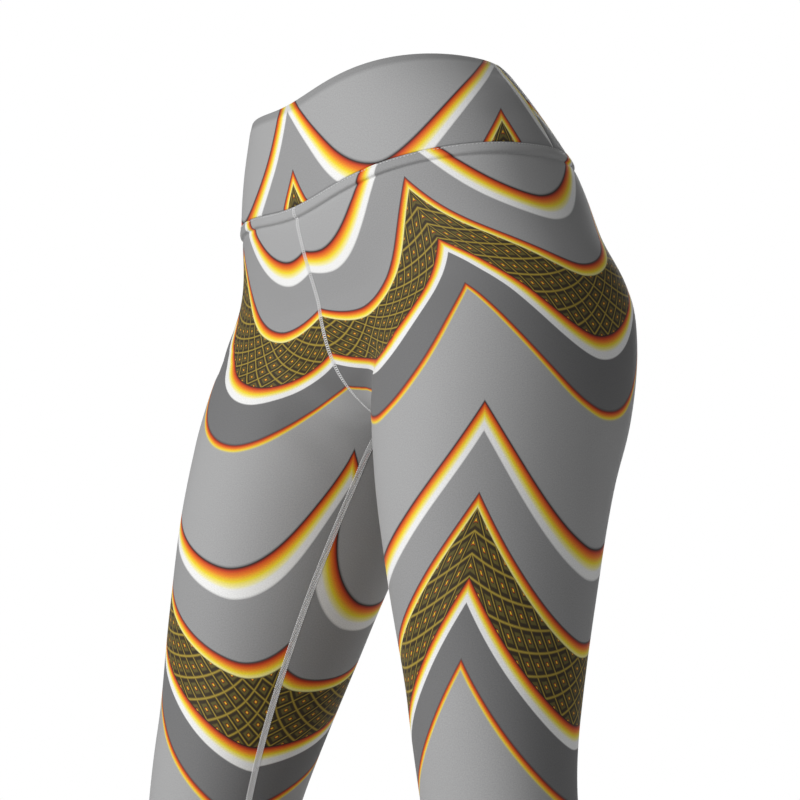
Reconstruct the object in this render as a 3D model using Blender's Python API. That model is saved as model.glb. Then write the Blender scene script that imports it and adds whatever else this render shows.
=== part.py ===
# High-waisted leggings, worn: hollow, in the pose of a wearer who steps forward with the right leg.
# Lengths are in millimetres here and metres in Blender. X is the wearer's left, -Y the front,
# and the origin is the middle of the waist opening.
import math

import bmesh
import bpy
import mathutils
import numpy as np

METRES = 0.001

# Driving dimensions, in millimetres and degrees.
SEAM_GAP = 0.3              # between two pieces that are sewn together
BAND_HEIGHT = 82.0          # the waistband, from the middle of its top edge straight down to the waist seam
BAND_WALL = 2.2             # the waistband is folded double
BAND_PROUD = 0.8            # and stands this far outside the legs' cloth
LEG_WALL = 1.2
LEG_LENGTH = 960.0          # waist edge to ankle edge, along the leg
SIDE_SEAM_TURN = 20.0       # the waistband's side seams lie this far behind the sides
WAIST_SEAM_PITCH = 4.3      # the waist seam is lower in front by this angle
WAIST_SEAM_ROLL = 1.6       # and lower on the left by this one
HIP_LEVEL = 183.0           # below it the trunk closes into the seat and crotch
SEAT_DEPTH = 94.0           # from the hip level down to the crotch
HIP_SPREAD = 108.0          # from the middle to each leg's axis
HIP_BACK = 5.0
TRUNK_SQUARENESS = 2.2      # 2 is an ellipse, more is fuller at the corners
LEG_SQUARENESS = 2.1
LEG_TOP = 222.0             # above it the leg's form rounds off inside the trunk
LEG_TOP_ROUNDING = 86.0
BLEND = 12.0                # how softly legs and trunk run into each other
CROTCH_FORWARD = 28.0       # where the inseams meet the seam between the legs, in front of the middle
INSEAM_TURN = 19.0          # each inseam lies this far in front of the innermost line of the leg
INSEAM_DRIFT = 6.0          # and this much further by the ankle
RIDGE_HEIGHT = 9.5          # the turned seam allowance under the waistband
RIDGE_PROUD = 1.6
HEM_HEIGHT = 20.0           # the turned hem at the ankle
HEM_PROUD = 0.8
HEM_STEP = 1.0              # from the leg's surface up onto the hem
WAIST_ROLL = 8.0            # the left hip is this much higher
WAIST_PITCH = -1.6          # the front is this much lower
WAIST_SWAY = 15.0           # the waist leans this far to the right, over the hips
WAIST_TURN = 4.5            # and turns this far to the right
FRONT_DIP = 14.0            # the waistband and belly sag this far at the centre front
TURN_FADE = {"whole_above": 95.0, "none_below": 215.0}      # drops between which turn and dip fade out

# The trunk's half sizes at each drop below the waist edge.
TRUNK = (
    {"drop": 0, "side": 125, "front": 93, "back": 86},
    {"drop": 43, "side": 152, "front": 96, "back": 94},
    {"drop": 89, "side": 165, "front": 100, "back": 124},
    {"drop": 135, "side": 172, "front": 97, "back": 136},
    {"drop": 183, "side": 181, "front": 90, "back": 127},
)

# A leg's reach from its axis at each distance along it from the waist.
LEG = (
    {"along": 195, "outer": 87, "inner": 82, "front": 92, "back": 110},
    {"along": 240, "outer": 91, "inner": 87, "front": 105, "back": 109},
    {"along": 290, "outer": 93, "inner": 90, "front": 110, "back": 97},
    {"along": 345, "outer": 87, "inner": 85, "front": 106, "back": 81},
    {"along": 435, "outer": 73, "inner": 74, "front": 88, "back": 70},
    {"along": 520, "outer": 62, "inner": 62, "front": 66, "back": 63},
    {"along": 590, "outer": 56, "inner": 56, "front": 54, "back": 60},
    {"along": 655, "outer": 54, "inner": 54, "front": 50, "back": 63},
    {"along": 715, "outer": 55, "inner": 55, "front": 50, "back": 66},
    {"along": 790, "outer": 46, "inner": 46, "front": 44, "back": 58},
    {"along": 870, "outer": 37, "inner": 37, "front": 38, "back": 45},
    {"along": 960, "outer": 33, "inner": 33, "front": 36, "back": 41},
)

# How each leg swings from the hip and bends at the knee, in degrees from straight down.
STANCE = {
    "left": {"side": 1, "thigh_out": 3.5, "thigh_forward": 11.5, "shin_out": 1.0, "shin_forward": -4.0},
    "right": {"side": -1, "thigh_out": 9.0, "thigh_forward": 19.0, "shin_out": 3.0, "shin_forward": 5.0},
}
HIP_BEND = {"start": 206.0, "length": 106.0}
KNEE_BEND = {"start": 520.0, "length": 116.0}

# Towards the crotch one leg stops shaping the other, and below it each keeps to its own side.
CROTCH_DROP = HIP_LEVEL + SEAT_DEPTH
OTHER_LEG_FADE = {"start": 226.0, "length": 38.0, "lift": 20.0}
THIGH_CLEARANCE = {"at_crotch": SEAM_GAP / 2, "below": 2.0, "over": 60.0, "blend": 3.0}

# Extra rows where the cloth is folded: how far from the edge, and how proud the outside stands there.
RIDGE = (
    {"from_edge": 0.0, "proud": 0.6 * RIDGE_PROUD},
    {"from_edge": 2.0, "proud": RIDGE_PROUD},
    {"from_edge": 6.5, "proud": 0.9 * RIDGE_PROUD},
    {"from_edge": RIDGE_HEIGHT, "proud": 0.0},
)
HEM = (
    {"from_edge": HEM_HEIGHT + HEM_STEP / 2, "proud": 0.0},
    {"from_edge": HEM_HEIGHT - HEM_STEP / 2, "proud": HEM_PROUD},
    {"from_edge": 0.0, "proud": HEM_PROUD},
)

# Rows of the waistband, as shares of its height. Its folded top edge is rounded.
BAND_INSIDE = BAND_WALL - BAND_PROUD
BAND = (
    {"share": 0.0, "outside": BAND_PROUD - 1.0, "inside": BAND_INSIDE - 0.5},
    {"share": 0.02, "outside": BAND_PROUD, "inside": BAND_INSIDE},
    {"share": 0.25, "outside": BAND_PROUD, "inside": BAND_INSIDE},
    {"share": 0.5, "outside": BAND_PROUD, "inside": BAND_INSIDE},
    {"share": 0.75, "outside": BAND_PROUD, "inside": BAND_INSIDE},
    {"share": 1.0, "outside": BAND_PROUD, "inside": BAND_INSIDE},
)

# The mesh: steps round a panel, and down it.
STEPS_ROUND = 32
STEPS_TO_CROTCH = 13
STEPS_CROTCH_TO_HEM = 31
BAND_STEPS = {"front": 24, "back": 18}
RELAX_ROUNDS = 60           # rounds of evening out the leg's grid
SEAM_SAMPLES = 241          # points cast to find the seam between the legs
HALVINGS = 24               # halvings that place a cast point on the form
SAME_POINT = 1e-6           # in metres: the two edges of a closed leg meet within this

# Colours of the knit, before any print.
LEG_GREY = (0.36, 0.36, 0.37)
BAND_GREY = (0.40, 0.40, 0.41)
KNIT_ROUGHNESS = 0.75


def table(rows, key, *columns):
    # The places and the sizes there, ready for section().
    places = np.array([row[key] for row in rows], float)
    return places, np.array([[row[name] for name in columns] for row in rows], float)


# How the height changes across and along the level of the waist seam.
WAIST_SEAM_SLOPE = np.array(
    [-math.tan(math.radians(WAIST_SEAM_ROLL)), math.tan(math.radians(WAIST_SEAM_PITCH))]
)
TRUNK_TABLE = table(TRUNK, "drop", "side", "front", "back")
LEG_TABLE = table(LEG, "along", "outer", "inner", "front", "back")


def section(size_table, place):
    # A smooth curve through the table's rows, flat beyond its ends.
    places, sizes = size_table
    steps = np.diff(places)
    slopes = np.diff(sizes, axis=0) / steps[:, None]
    tangents = np.vstack([slopes[:1], slopes[:-1], slopes[-1:]])
    share = (steps[:-1] / (steps[:-1] + steps[1:]))[:, None]
    tangents[1:-1] = slopes[:-1] * (1 - share) + slopes[1:] * share
    place = np.clip(place, places[0], places[-1])
    row = np.clip(np.searchsorted(places, place, side="right") - 1, 0, len(steps) - 1)
    t = ((place - places[row]) / steps[row])[..., None]
    step = steps[row][..., None]
    start, end = sizes[row], sizes[row + 1]
    return (
        (2 * t**3 - 3 * t**2 + 1) * start
        + (t**3 - 2 * t**2 + t) * step * tangents[row]
        + (3 * t**2 - 2 * t**3) * end
        + (t**3 - t**2) * step * tangents[row + 1]
    )


def bend(along, start, length):
    # 0 before the start, then a slope that grows to 1 over the length: the value and the slope.
    past = np.clip((along - start) / length, 0, 1)
    beyond = np.clip(along - start - length, 0, None)
    return length * past**2 / 2 + beyond, past


def oval_ratio(across, forth, left, right, front, back, squareness):
    half_width = np.where(across > 0, left, right)
    half_depth = np.where(forth > 0, back, front)
    return np.abs(across / half_width) ** squareness + np.abs(forth / half_depth) ** squareness


def gap_from_ratio(ratio, reach, squareness):
    # Roughly the distance from an oval: negative inside it.
    size = np.maximum(ratio, 1e-9) ** (1 / squareness)
    return reach * (1 - 1 / size)


def trunk_gap(points):
    x, y, drop = points[..., 0], points[..., 1], -points[..., 2]
    side, front, back = np.moveaxis(section(TRUNK_TABLE, np.minimum(drop, HIP_LEVEL)), -1, 0)
    low = np.clip(drop - HIP_LEVEL, 0, None)
    ratio = oval_ratio(x, y, side, side, front, back, TRUNK_SQUARENESS)
    ratio = ratio + (low / SEAT_DEPTH) ** TRUNK_SQUARENESS
    reach = np.sqrt(x**2 + y**2 + low**2) + 1e-6
    return gap_from_ratio(ratio, reach, TRUNK_SQUARENESS)


def leg_axis(along, stance):
    # A point on the leg's axis, and the direction in which it runs.
    hip, hip_slope = bend(along, **HIP_BEND)
    knee, knee_slope = bend(along, **KNEE_BEND)
    out = math.tan(math.radians(stance["thigh_out"]))
    forward = math.tan(math.radians(stance["thigh_forward"]))
    shin_out = math.tan(math.radians(stance["shin_out"])) - out
    shin_forward = math.tan(math.radians(stance["shin_forward"])) - forward
    side = stance["side"]
    x = side * (HIP_SPREAD + out * hip + shin_out * knee)
    y = HIP_BACK - forward * hip - shin_forward * knee
    run_x = side * (out * hip_slope + shin_out * knee_slope)
    run_y = -forward * hip_slope - shin_forward * knee_slope
    return np.stack([x, y, -along], axis=-1), np.stack([run_x, run_y, -np.ones_like(along)], axis=-1)


def leg_frame(along, stance):
    # Axis point, and the directions outwards and backwards across the leg.
    point, run = leg_axis(along, stance)
    run = run / np.linalg.norm(run, axis=-1, keepdims=True)
    outwards = np.array([stance["side"], 0.0, 0.0]) - run * (run[..., :1] * stance["side"])
    outwards = outwards / np.linalg.norm(outwards, axis=-1, keepdims=True)
    backwards = np.cross(outwards, run) * stance["side"]
    return point, run, outwards, backwards


def leg_station(points, stance):
    # How far along the leg's axis the cut across the leg through each point lies.
    along = -points[..., 2]
    for _ in range(4):
        axis_point, run = leg_axis(along, stance)
        along = along + np.sum((points - axis_point) * run, axis=-1) / np.sum(run**2, axis=-1)
    return along


def leg_gap(points, stance):
    along = leg_station(points, stance)
    axis_point, run, outwards, backwards = leg_frame(along, stance)
    offset = points - axis_point
    across = np.sum(offset * outwards, axis=-1)
    forth = np.sum(offset * backwards, axis=-1)
    outer, inner, front, back = np.moveaxis(section(LEG_TABLE, along), -1, 0)
    ratio = oval_ratio(across, forth, outer, inner, front, back, LEG_SQUARENESS)
    above = np.clip(LEG_TOP - along, 0, None)
    ratio = ratio + (above / LEG_TOP_ROUNDING) ** LEG_SQUARENESS
    reach = np.sqrt(across**2 + forth**2 + above**2) + 1e-6
    return gap_from_ratio(ratio, reach, LEG_SQUARENESS)


def form_gap(points, name):
    # The outside of the cloth on one side: trunk and both legs, and only its own leg below the crotch.
    own = STANCE[name]
    other = STANCE["left" if name == "right" else "right"]
    drop = -points[..., 2]
    fade = np.clip((drop - OTHER_LEG_FADE["start"]) / OTHER_LEG_FADE["length"], 0, 3)
    gaps = np.stack(
        [trunk_gap(points), leg_gap(points, own), leg_gap(points, other) + OTHER_LEG_FADE["lift"] * fade**2]
    )
    nearest = gaps.min(axis=0)
    form = nearest - BLEND * np.log(np.exp(-(gaps - nearest) / BLEND).sum(axis=0))
    below = np.clip((drop - CROTCH_DROP) / THIGH_CLEARANCE["over"], 0, 1)
    apart = THIGH_CLEARANCE["at_crotch"] + THIGH_CLEARANCE["below"] * below - own["side"] * points[..., 0]
    rounding = THIGH_CLEARANCE["blend"] * np.log1p(np.exp(-np.abs(form - apart) / THIGH_CLEARANCE["blend"]))
    return np.where(below > 0, np.maximum(form, apart) + rounding * below, form)


def form_slope(points, name):
    step = 0.5
    slope = np.empty_like(points)
    for axis in range(3):
        shift = np.zeros(3)
        shift[axis] = step
        slope[..., axis] = (form_gap(points + shift, name) - form_gap(points - shift, name)) / (2 * step)
    return slope


def settle(points, name, rounds=3):
    # Moves points onto the form.
    for _ in range(rounds):
        slope = form_slope(points, name)
        points = points - slope * (form_gap(points, name) / np.sum(slope**2, axis=-1))[..., None]
    return points


def cast(starts, directions, name, reach=260.0):
    # Where lines from inside leave the form.
    near = np.zeros(starts.shape[:-1])
    far = np.full(starts.shape[:-1], reach)
    for _ in range(HALVINGS):
        middle = (near + far) / 2
        inside = form_gap(starts + directions * middle[..., None], name) < 0
        near, far = np.where(inside, middle, near), np.where(inside, far, middle)
    return starts + directions * ((near + far) / 2)[..., None]


def along_line(points):
    return np.concatenate([[0.0], np.cumsum(np.linalg.norm(np.diff(points, axis=0), axis=-1))])


def spaced(points, count):
    # The same line with its points evenly spaced.
    run = along_line(points)
    places = np.linspace(0, run[-1], count)
    return np.stack([np.interp(places, run, points[:, axis]) for axis in range(3)], axis=-1)


def with_slope(directions, slope):
    # Level directions, tipped so that they stay in a plane with this slope.
    return np.concatenate([directions, (directions @ slope)[..., None]], axis=-1)


def rise_seam(name):
    # The seam between the legs, from the waistband down the front, under, and up the back.
    edge = STANCE[name]["side"] * SEAM_GAP / 2
    pivot = np.array([edge, 0.0, -HIP_LEVEL])
    starts = np.array([[edge, 0.0, -(BAND_HEIGHT + SEAM_GAP / 2)]] * 2)
    ends = cast(starts, with_slope(np.array([[0.0, -1.0], [0.0, 1.0]]), WAIST_SEAM_SLOPE), name) - pivot
    first = math.atan2(-ends[0, 2], -ends[0, 1])
    last = math.atan2(-ends[1, 2], -ends[1, 1]) + 2 * math.pi
    turn = np.linspace(first, last, SEAM_SAMPLES)
    directions = np.stack([np.zeros_like(turn), -np.cos(turn), -np.sin(turn)], axis=-1)
    line = cast(np.broadcast_to(pivot, directions.shape), directions, name)
    under = line[:, 2] < -HIP_LEVEL
    crotch = int(np.argmin(np.where(under, np.abs(line[:, 1] + CROTCH_FORWARD), np.inf)))
    return spaced(line[: crotch + 1], STEPS_TO_CROTCH + 1), spaced(line[crotch:], STEPS_TO_CROTCH + 1)[::-1]


def first_rows(name, front_seam, back_seam):
    # From the waistband to the crotch: each row runs from the front seam round the side to the back seam.
    side = STANCE[name]["side"]
    round_share = np.linspace(0, 1, STEPS_ROUND + 1)
    top = -(BAND_HEIGHT + SEAM_GAP / 2)
    rows = []
    for step in range(STEPS_TO_CROTCH + 1):
        down = step / STEPS_TO_CROTCH
        slope = WAIST_SEAM_SLOPE * (1 - down)
        level = top + (front_seam[-1, 2] - top) * down
        centre = np.array([side * HIP_SPREAD * down, HIP_BACK * down])
        front, back = front_seam[step], back_seam[step]
        start = math.atan2(front[1] - centre[1], side * (front[0] - centre[0]))
        end = math.atan2(back[1] - centre[1], side * (back[0] - centre[0])) % (2 * math.pi)
        turn = start + (end - start) * round_share
        nearest_seam = np.where(round_share[:, None] < 0.5, front, back)
        seam_lift = nearest_seam[:, 2] - (level + nearest_seam[:, :2] @ slope)
        height = level + centre @ slope + seam_lift * np.abs(2 * round_share - 1) ** 2
        starts = np.stack([np.full_like(turn, centre[0]), np.full_like(turn, centre[1]), height], axis=-1)
        directions = with_slope(np.stack([side * np.cos(turn), np.sin(turn)], axis=-1), slope)
        row = cast(starts, directions, name)
        row[0], row[-1] = front, back
        rows.append(row)
    return rows


def leg_rows(name):
    # From the crotch to the hem: closed rings across the leg, each from the inseam round to the inseam.
    stance = STANCE[name]
    rows = []
    for step in range(1, STEPS_CROTCH_TO_HEM + 1):
        down = step / STEPS_CROTCH_TO_HEM
        along = np.array(CROTCH_DROP + (LEG_LENGTH - CROTCH_DROP) * down)
        centre, _, outwards, backwards = leg_frame(along, stance)
        inseam = -180 + INSEAM_TURN + INSEAM_DRIFT * down
        turn = np.radians(inseam + np.linspace(0, 360, STEPS_ROUND + 1))[:, None]
        directions = outwards * np.cos(turn) + backwards * np.sin(turn)
        rows.append(cast(np.broadcast_to(centre, directions.shape), directions, name))
    return rows


def relax(grid, name):
    # Evens out the steps of the grid over the form. The waist row, the hem and the rise seam stay.
    for _ in range(RELAX_ROUNDS):
        moved = grid.copy()
        moved[1:-1, 1:-1] = (grid[:-2, 1:-1] + grid[2:, 1:-1] + grid[1:-1, :-2] + grid[1:-1, 2:]) / 4
        seam = slice(STEPS_TO_CROTCH + 1, -1)
        above = grid[STEPS_TO_CROTCH:-2, 0]
        below = grid[STEPS_TO_CROTCH + 2 :, 0]
        moved[seam, 0] = (above + below + grid[seam, 1] + grid[seam, -2]) / 4
        moved[seam, -1] = moved[seam, 0]
        settled = settle(moved, name, rounds=1)
        settled[: STEPS_TO_CROTCH + 1, [0, -1]] = grid[: STEPS_TO_CROTCH + 1, [0, -1]]
        settled[[0, -1]] = grid[[0, -1]]
        grid = settled
    return grid


def row_between(upper, lower, distance, name):
    # A row this far below the upper one, or above the lower one when the distance is negative.
    span = np.linalg.norm(lower - upper, axis=-1, keepdims=True)
    share = distance / span if distance > 0 else 1 + distance / span
    row = upper + (lower - upper) * share
    return settle(row, name)


def leg_grid(name):
    # The leg's outer points before folds, and how proud each row stands.
    front_seam, back_seam = rise_seam(name)
    grid = relax(np.array(first_rows(name, front_seam, back_seam) + leg_rows(name)), name)
    rows, proud = [grid[0]], [RIDGE[0]["proud"]]
    for fold in RIDGE[1:]:
        row = row_between(grid[0], grid[1], fold["from_edge"], name)
        row[[0, -1], 0] = grid[0, [0, -1], 0]
        rows.append(row)
        proud.append(fold["proud"])
    rows.extend(grid[1:-1])
    proud.extend([0.0] * (len(grid) - 2))
    for fold in HEM[:-1]:
        rows.append(row_between(grid[-2], grid[-1], -fold["from_edge"], name))
        proud.append(fold["proud"])
    rows.append(grid[-1])
    proud.append(HEM[-1]["proud"])
    return np.array(rows), np.array(proud)


def outward_normals(grid, name):
    normals = form_slope(grid, name)
    return normals / np.linalg.norm(normals, axis=-1, keepdims=True)


def band_grid(half):
    # Rows down the waistband, from one side seam round to the other.
    behind = math.radians(SIDE_SEAM_TURN)
    if half == "front":
        turn = np.linspace(behind, -math.pi - behind, BAND_STEPS[half] + 1)
    else:
        turn = np.linspace(behind, math.pi - behind, BAND_STEPS[half] + 1)
    rows = []
    for fold in BAND:
        drop = fold["share"] * (BAND_HEIGHT - SEAM_GAP / 2)
        side, front, back = section(TRUNK_TABLE, np.array(drop))
        depth = np.where(np.sin(turn) > 0, back, front)
        directions = np.stack([side * np.cos(turn), depth * np.sin(turn)], axis=-1)
        directions /= np.linalg.norm(directions, axis=-1, keepdims=True)
        directions = with_slope(directions, WAIST_SEAM_SLOPE * fold["share"])
        starts = np.broadcast_to([0.0, 0.0, -drop], directions.shape)
        row = cast(starts, directions, "left")
        inset = SEAM_GAP / 2 * (row[1] - row[0]) / np.linalg.norm(row[1] - row[0])
        row[0] += inset
        row[-1] += inset * [-1, 1, 1]
        rows.append(row)
    return np.array(rows)


def sway(points):
    # Above the hips the whole garment leans and turns with the waist, and its front sags.
    x, y, drop = points[..., 0], points[..., 1], -points[..., 2]
    lean = WAIST_SWAY * np.clip(1 - drop / HIP_LEVEL, 0, 1) ** 2
    none_below, whole_above = TURN_FADE["none_below"], TURN_FADE["whole_above"]
    rise = np.clip((none_below - drop) / (none_below - whole_above), 0, 1)
    share = rise**2 * (3 - 2 * rise)
    turn = math.radians(WAIST_TURN) * share
    in_front = np.clip(-y, 0, None) ** 4 / np.maximum(x**2 + y**2, 1.0) ** 2
    turned_x = x * np.cos(turn) + y * np.sin(turn) - lean
    turned_y = y * np.cos(turn) - x * np.sin(turn)
    return np.stack([turned_x, turned_y, -drop - FRONT_DIP * share * in_front], axis=-1)


def cloth_mesh(name, outer, inner):
    # One closed wall: a grid laid on the outer points, and a copy of it pushed in to the inner points.
    rows, columns = outer.shape[:2]
    bm = bmesh.new()
    bmesh.ops.create_grid(bm, x_segments=columns - 1, y_segments=rows - 1, size=1.0)
    place = bm.verts.layers.int.new("place")
    for vert in bm.verts:
        column = round((vert.co.x + 1) / 2 * (columns - 1))
        row = round((1 - vert.co.y) / 2 * (rows - 1))
        vert[place] = row * columns + column
        vert.co = outer[row, column] * METRES
    bmesh.ops.remove_doubles(bm, verts=bm.verts, dist=SAME_POINT)
    inner_side = bmesh.ops.extrude_face_region(bm, geom=bm.faces[:], use_keep_orig=True)
    inner_points = inner.reshape(-1, 3) * METRES
    for piece in inner_side["geom"]:
        if isinstance(piece, bmesh.types.BMVert):
            piece.co = inner_points[piece[place]]
    bmesh.ops.recalc_face_normals(bm, faces=bm.faces)
    mesh = bpy.data.meshes.new(name)
    bm.to_mesh(mesh)
    bm.free()
    mesh.shade_smooth()
    return mesh


def knit(name, colour):
    material = bpy.data.materials.new(name)
    material.use_nodes = True
    shader = material.node_tree.nodes["Principled BSDF"]
    shader.inputs["Base Color"].default_value = (*colour, 1.0)
    shader.inputs["Roughness"].default_value = KNIT_ROUGHNESS
    shader.inputs["Metallic"].default_value = 0.0
    return material


def add_piece(name, outer, inner, colour, waist):
    piece = bpy.data.objects.new(name, cloth_mesh(name, sway(outer), sway(inner)))
    piece.data.materials.append(knit(name + "_knit", colour))
    piece.parent = waist
    bpy.context.collection.objects.link(piece)


def add_leg(name, waist):
    grid, proud = leg_grid(name)
    normals = outward_normals(grid, name)
    normals[: STEPS_TO_CROTCH + len(RIDGE), [0, -1], 0] = 0.0       # stays in the plane between the legs
    normals[0, :, 2] = normals[0, :, :2] @ WAIST_SEAM_SLOPE         # stays in the plane of the waist seam
    normals /= np.linalg.norm(normals, axis=-1, keepdims=True)
    outer = grid + normals * proud[:, None, None]
    inner = grid - normals * LEG_WALL
    add_piece("leg_" + name, outer, inner, LEG_GREY, waist)


def add_band(half, waist):
    grid = band_grid(half)
    normals = outward_normals(grid, "left")
    normals[..., 2] = 0.0
    normals /= np.linalg.norm(normals, axis=-1, keepdims=True)
    outer = grid + normals * np.array([fold["outside"] for fold in BAND])[:, None, None]
    inner = grid - normals * np.array([fold["inside"] for fold in BAND])[:, None, None]
    add_piece("waistband_" + half, outer, inner, BAND_GREY, waist)


def main():
    for leftover in list(bpy.data.objects):
        bpy.data.objects.remove(leftover)
    waist = bpy.data.objects.new("waist", None)
    tilt = mathutils.Euler((math.radians(WAIST_PITCH), -math.radians(WAIST_ROLL), 0.0))
    middle = sway(np.array([0.0, (TRUNK[0]["back"] - TRUNK[0]["front"]) / 2, 0.0])) * [1, 1, 0] * METRES
    waist.rotation_euler = tilt
    waist.location = -(tilt.to_matrix() @ mathutils.Vector(middle))
    bpy.context.collection.objects.link(waist)
    add_band("front", waist)
    add_band("back", waist)
    for name in STANCE:
        add_leg(name, waist)
    bpy.context.view_layer.update()


main()
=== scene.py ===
import math

import bmesh
import bpy
import numpy as np
from mathutils import Euler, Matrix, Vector
from mathutils.bvhtree import BVHTree


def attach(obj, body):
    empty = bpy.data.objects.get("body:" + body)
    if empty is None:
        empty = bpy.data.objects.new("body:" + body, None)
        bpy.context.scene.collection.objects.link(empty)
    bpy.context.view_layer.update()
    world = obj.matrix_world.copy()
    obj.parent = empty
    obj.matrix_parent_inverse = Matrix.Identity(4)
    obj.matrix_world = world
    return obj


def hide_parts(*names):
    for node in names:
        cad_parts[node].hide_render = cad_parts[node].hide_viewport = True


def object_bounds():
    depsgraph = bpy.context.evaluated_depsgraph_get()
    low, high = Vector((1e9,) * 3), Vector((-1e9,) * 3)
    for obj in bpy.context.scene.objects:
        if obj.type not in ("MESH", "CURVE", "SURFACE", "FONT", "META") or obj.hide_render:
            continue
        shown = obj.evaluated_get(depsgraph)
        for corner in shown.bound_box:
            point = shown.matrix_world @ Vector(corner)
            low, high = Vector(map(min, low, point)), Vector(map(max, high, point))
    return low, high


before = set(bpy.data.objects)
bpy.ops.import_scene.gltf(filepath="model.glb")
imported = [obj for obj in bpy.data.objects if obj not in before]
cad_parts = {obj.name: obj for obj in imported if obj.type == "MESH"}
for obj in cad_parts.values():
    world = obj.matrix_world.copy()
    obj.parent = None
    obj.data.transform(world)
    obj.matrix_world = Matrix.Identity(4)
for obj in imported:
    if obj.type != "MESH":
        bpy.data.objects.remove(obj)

# High-waisted leggings in printed stretch knit, hollow and in the pose of a step.
# Lengths are in millimetres until a mesh is finished. X is the wearer's left and -Y the front.
metre = 0.001
cadLow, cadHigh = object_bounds()

# The figure that the cloth is worn on, in the same sizes as the solids.
trunk = {
    "drop": (0, 43, 89, 135, 183),
    "side": (125, 152, 165, 172, 181),
    "front": (93, 96, 100, 97, 90),
    "back": (86, 94, 124, 136, 127),
}
limb = {
    "along": (195, 240, 290, 345, 435, 520, 590, 655, 715, 790, 870, 960),
    "outer": (87, 91, 93, 87, 73, 62, 56, 54, 55, 46, 37, 33),
    "inner": (82, 87, 90, 85, 74, 62, 56, 54, 55, 46, 37, 33),
    "front": (92, 105, 110, 106, 88, 66, 54, 50, 50, 44, 38, 36),
    "back": (110, 109, 97, 81, 70, 63, 60, 63, 66, 58, 45, 41),
}
stance = {
    "left": {"side": 1, "thighOut": 3.5, "thighForward": 11.5, "shinOut": 1.0, "shinForward": -4.0},
    "right": {"side": -1, "thighOut": 9.0, "thighForward": 19.0, "shinOut": 3.0, "shinForward": 5.0},
}
figure = {
    "hipLevel": 183.0, "seatDepth": 94.0, "hipSpread": 108.0, "hipBack": 5.0,
    "trunkSquareness": 2.2, "limbSquareness": 2.1, "limbTop": 222.0, "limbTopRounding": 86.0,
    "blend": 12.0, "hipBend": (206.0, 106.0), "kneeBend": (520.0, 116.0),
    "otherLegFade": (226.0, 38.0, 20.0, 3.0), "clearance": (0.15, 2.0, 60.0, 3.0),
    "roll": 8.0, "pitch": -1.6, "sway": 15.0, "turn": 4.5, "frontDip": 14.0, "turnFade": (95.0, 215.0),
}
cut = {
    "seamGap": 0.3, "bandHeight": 82.0, "length": 960.0, "legWall": 1.2, "seamPitch": 4.3, "seamRoll": 1.6,
    "crotchForward": 28.0, "inseamTurn": 19.0, "inseamDrift": 6.0, "sideSeamTurn": 20.0,
}
crotchDrop = figure["hipLevel"] + figure["seatDepth"]
seamTop = -(cut["bandHeight"] + cut["seamGap"] / 2)
seamSlope = np.array([-math.tan(math.radians(cut["seamRoll"])), math.tan(math.radians(cut["seamPitch"]))])


def sizesAt(table, place):
    # Smooth curves through the table's columns, flat beyond the ends. The first column is the place.
    places, *columns = [np.array(column, float) for column in table.values()]
    sizes = np.stack(columns, axis=-1)
    steps = np.diff(places)
    slopes = np.diff(sizes, axis=0) / steps[:, None]
    tangents = np.vstack([slopes[:1], slopes[:-1], slopes[-1:]])
    share = (steps[:-1] / (steps[:-1] + steps[1:]))[:, None]
    tangents[1:-1] = slopes[:-1] * (1 - share) + slopes[1:] * share
    place = np.clip(place, places[0], places[-1])
    row = np.clip(np.searchsorted(places, place, side="right") - 1, 0, len(steps) - 1)
    t = ((place - places[row]) / steps[row])[..., None]
    step = steps[row][..., None]
    start, end = sizes[row], sizes[row + 1]
    curve = (2 * t**3 - 3 * t**2 + 1) * start + (3 * t**2 - 2 * t**3) * end
    curve = curve + (t**3 - 2 * t**2 + t) * step * tangents[row] + (t**3 - t**2) * step * tangents[row + 1]
    return np.moveaxis(curve, -1, 0)


def unit(vectors):
    return vectors / np.linalg.norm(vectors, axis=-1, keepdims=True)


def bendAt(along, start, length):
    # How far a gradual bend has led aside at each place, and the share of its full slope there.
    past = np.clip((along - start) / length, 0, 1)
    return length * past**2 / 2 + np.clip(along - start - length, 0, None), past


def gapFrom(ratio, reach, squareness):
    # How far a point lies outside a rounded section, from its share of the section's size.
    return reach * (1 - 1 / np.maximum(ratio, 1e-9) ** (1 / squareness))


def trunkGap(points):
    x, y, drop = points[..., 0], points[..., 1], -points[..., 2]
    side, front, back = sizesAt(trunk, np.minimum(drop, figure["hipLevel"]))
    low = np.clip(drop - figure["hipLevel"], 0, None)
    power = figure["trunkSquareness"]
    ratio = np.abs(x / side) ** power + np.abs(y / np.where(y > 0, back, front)) ** power
    ratio = ratio + (low / figure["seatDepth"]) ** power
    return gapFrom(ratio, np.sqrt(x**2 + y**2 + low**2) + 1e-6, power)


def limbAxis(along, pose):
    # A point on the leg's axis, and the direction in which it runs.
    hip, hipSlope = bendAt(along, *figure["hipBend"])
    knee, kneeSlope = bendAt(along, *figure["kneeBend"])
    thighOut, thighForward, shinOut, shinForward = [
        math.tan(math.radians(pose[key])) for key in ("thighOut", "thighForward", "shinOut", "shinForward")
    ]
    x = pose["side"] * (figure["hipSpread"] + thighOut * hip + (shinOut - thighOut) * knee)
    y = figure["hipBack"] - thighForward * hip - (shinForward - thighForward) * knee
    runX = pose["side"] * (thighOut * hipSlope + (shinOut - thighOut) * kneeSlope)
    runY = -thighForward * hipSlope - (shinForward - thighForward) * kneeSlope
    return np.stack([x, y, -along], axis=-1), np.stack([runX, runY, -np.ones_like(along)], axis=-1)


def limbFrame(along, pose):
    # The axis point, and the directions outwards and backwards across the leg.
    point, run = limbAxis(along, pose)
    run = unit(run)
    outwards = unit(np.array([pose["side"], 0.0, 0.0]) - run * (run[..., :1] * pose["side"]))
    return point, outwards, np.cross(outwards, run) * pose["side"]


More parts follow.
